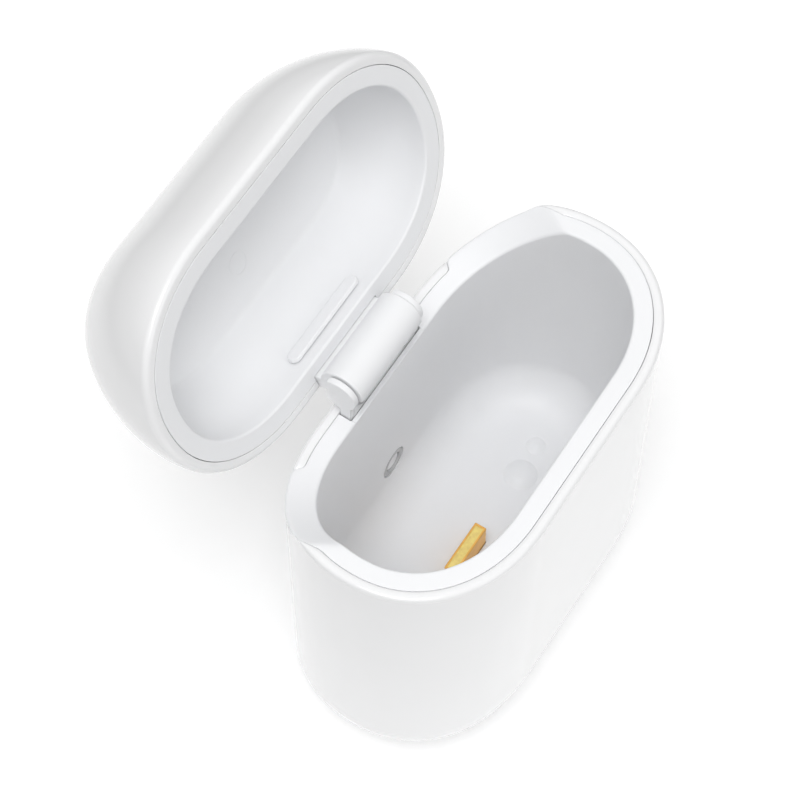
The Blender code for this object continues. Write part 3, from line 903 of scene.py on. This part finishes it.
# ---------------------------------------------------------------- CAD nodes that stay
FINISHES = {
    "bracket_screw_left": steel, "bracket_screw_right": steel,
    "button_switch": steel, "button_flex": flex_amber,
    "port_shell": steel, "port_tongue": black_plastic,
    "main_board": board_green, "board_screw_left": steel, "board_screw_right": steel,
    "battery_left": battery_foil, "battery_right": battery_foil, "lid_sensor": black_plastic,
    "base_magnet_left": nickel, "base_magnet_right": nickel,
    "lid_magnet_left": nickel, "lid_magnet_right": nickel,
}
for name, finish in FINISHES.items():
    nodes[name].data.materials.clear()
    nodes[name].data.materials.append(finish)

# ---------------------------------------------------------------- floor, light, camera
# painted pool of light: the floor's colour is full within this radius of the case and painted
# greyer beyond
painted_pool_radius = 0.085  # the floor is palest this near the case
floor_points = [(-2, -2, 0), (2, -2, 0), (2, 2, 0), (-2, 2, 0)]
floor_material = finish_material(
    "floor_white", (0.93, 0.93, 0.93), 0.9, spread=0.004, mottle_scale=3,
    grain=((900.0, 0.00001),),
)
floor_tree = floor_material.node_tree
floor_shader = floor_tree.nodes["Principled BSDF"]
# painted glow: the floor emits white light though it is no lamp
floor_shader.inputs["Emission Color"].default_value = (1, 1, 1, 1)
floor_distance = node(floor_tree, "ShaderNodeVectorMath", operation="LENGTH")
floor_tree.links.new(
    node(floor_tree, "ShaderNodeTexCoord").outputs["Object"], floor_distance.inputs[0]
)
# painted pool of light, with painted shade beyond it: the floor's colour is scaled from full near
# the case down to 0.35 further out
painted_pool = node(floor_tree, "ShaderNodeMapRange", interpolation_type="SMOOTHSTEP")
painted_pool.inputs["From Min"].default_value = painted_pool_radius
painted_pool.inputs["From Max"].default_value = 2.2 * painted_pool_radius
painted_pool.inputs["To Min"].default_value = 1.0
painted_pool.inputs["To Max"].default_value = 0.35
floor_tree.links.new(floor_distance.outputs["Value"], painted_pool.inputs["Value"])
shade = node(floor_tree, "ShaderNodeVectorMath", operation="SCALE")
floor_tree.links.new(floor_shader.inputs["Base Color"].links[0].from_socket, shade.inputs[0])
floor_tree.links.new(painted_pool.outputs["Result"], shade.inputs["Scale"])
floor_tree.links.new(shade.outputs["Vector"], floor_shader.inputs["Base Color"])
# painted glow strength, 0.13 times the painted pool, so the floor glows most near the case
painted_glow = node(floor_tree, "ShaderNodeMath", operation="MULTIPLY")
painted_glow.inputs[1].default_value = 0.13
floor_tree.links.new(painted_pool.outputs["Result"], painted_glow.inputs[0])
floor_tree.links.new(painted_glow.outputs["Value"], floor_shader.inputs["Emission Strength"])
floor = to_object("floor", floor_points, [(0, 1, 2, 3)], floor_material)


def area_light(name, location, target, size, power):
    data = bpy.data.lights.new(name, "AREA")
    data.shape = "DISK"
    data.size = size
    data.energy = power
    light = bpy.data.objects.new(name, data)
    light.location = location
    light.rotation_euler = (Vector(target) - Vector(location)).to_track_quat("-Z", "Y").to_euler()
    bpy.context.scene.collection.objects.link(light)


middle = (0, 0, 0.03)
area_light("key", (-0.22, -0.05, 0.76), middle, 0.38, 1.75)
area_light("front_fill", (0.0, -0.80, 0.46), middle, 0.5, 0.55)
area_light("camera_fill", (-0.36, -0.22, 0.70), middle, 0.30, 0.45)

world = bpy.data.worlds.new("studio")
bpy.context.scene.world = world
world.use_nodes = True
tree = world.node_tree
direction = node(tree, "ShaderNodeTexCoord").outputs["Generated"]
split = node(tree, "ShaderNodeSeparateXYZ")
tree.links.new(direction, split.inputs["Vector"])
ramp = node(tree, "ShaderNodeMapRange", interpolation_type="SMOOTHSTEP")
ramp.inputs["From Min"].default_value = -0.1
ramp.inputs["From Max"].default_value = 0.9
ramp.inputs["To Min"].default_value = 0.33
ramp.inputs["To Max"].default_value = 0.88
tree.links.new(split.outputs["Z"], ramp.inputs["Value"])
background = tree.nodes["Background"]
background.inputs["Color"].default_value = (1.0, 1.0, 1.0, 1)
sideways = node(tree, "ShaderNodeMath", operation="ABSOLUTE")
tree.links.new(split.outputs["X"], sideways.inputs[0])
side = node(tree, "ShaderNodeMath", operation="MULTIPLY_ADD")
tree.links.new(split.outputs["Z"], side.inputs[0])
side.inputs[1].default_value = -0.7
tree.links.new(sideways.outputs["Value"], side.inputs[2])
dim = node(tree, "ShaderNodeMapRange", interpolation_type="SMOOTHSTEP")
dim.inputs["From Min"].default_value = 0.2
dim.inputs["From Max"].default_value = 0.9
dim.inputs["To Min"].default_value = 1.0
dim.inputs["To Max"].default_value = 0.05
tree.links.new(side.outputs["Value"], dim.inputs["Value"])
strength = node(tree, "ShaderNodeMath", operation="MULTIPLY")
tree.links.new(ramp.outputs["Result"], strength.inputs[0])
tree.links.new(dim.outputs["Result"], strength.inputs[1])
tree.links.new(strength.outputs["Value"], background.inputs["Strength"])

azimuth, elevation, roll = math.radians(-57.48), math.radians(61.86), math.radians(0.10)
distance, focal, move_x, move_y = 0.2427, 2786.5, 76.96, -5.59
back = Vector(
    (
        math.sin(azimuth) * math.cos(elevation),
        -math.cos(azimuth) * math.cos(elevation),
        math.sin(elevation),
    )
)
right = Vector((math.cos(azimuth), math.sin(azimuth), 0))
up = back.cross(right)
camera_right = math.cos(roll) * right + math.sin(roll) * up
camera_up = -math.sin(roll) * right + math.cos(roll) * up
camera_data = bpy.data.cameras.new("camera")
sensor_width, image_width = 36.0, 800.0
camera_data.sensor_width = sensor_width
camera_data.lens = focal * sensor_width / image_width
camera_data.clip_start, camera_data.clip_end = 0.01, 20
camera = bpy.data.objects.new("camera", camera_data)
camera.matrix_world = Matrix(
    (
        (camera_right.x, camera_up.x, back.x, 0),
        (camera_right.y, camera_up.y, back.y, 0),
        (camera_right.z, camera_up.z, back.z, 0),
        (0, 0, 0, 1),
    )
)
camera.location = (
    Vector((0, 0, base_height))
    + distance * back
    - camera_right * (move_x * distance / focal)
    + camera_up * (move_y * distance / focal)
)
bpy.context.scene.collection.objects.link(camera)
bpy.context.scene.camera = camera
bpy.context.scene.view_settings.view_transform = "Standard"
bpy.context.scene.view_settings.look = "None"
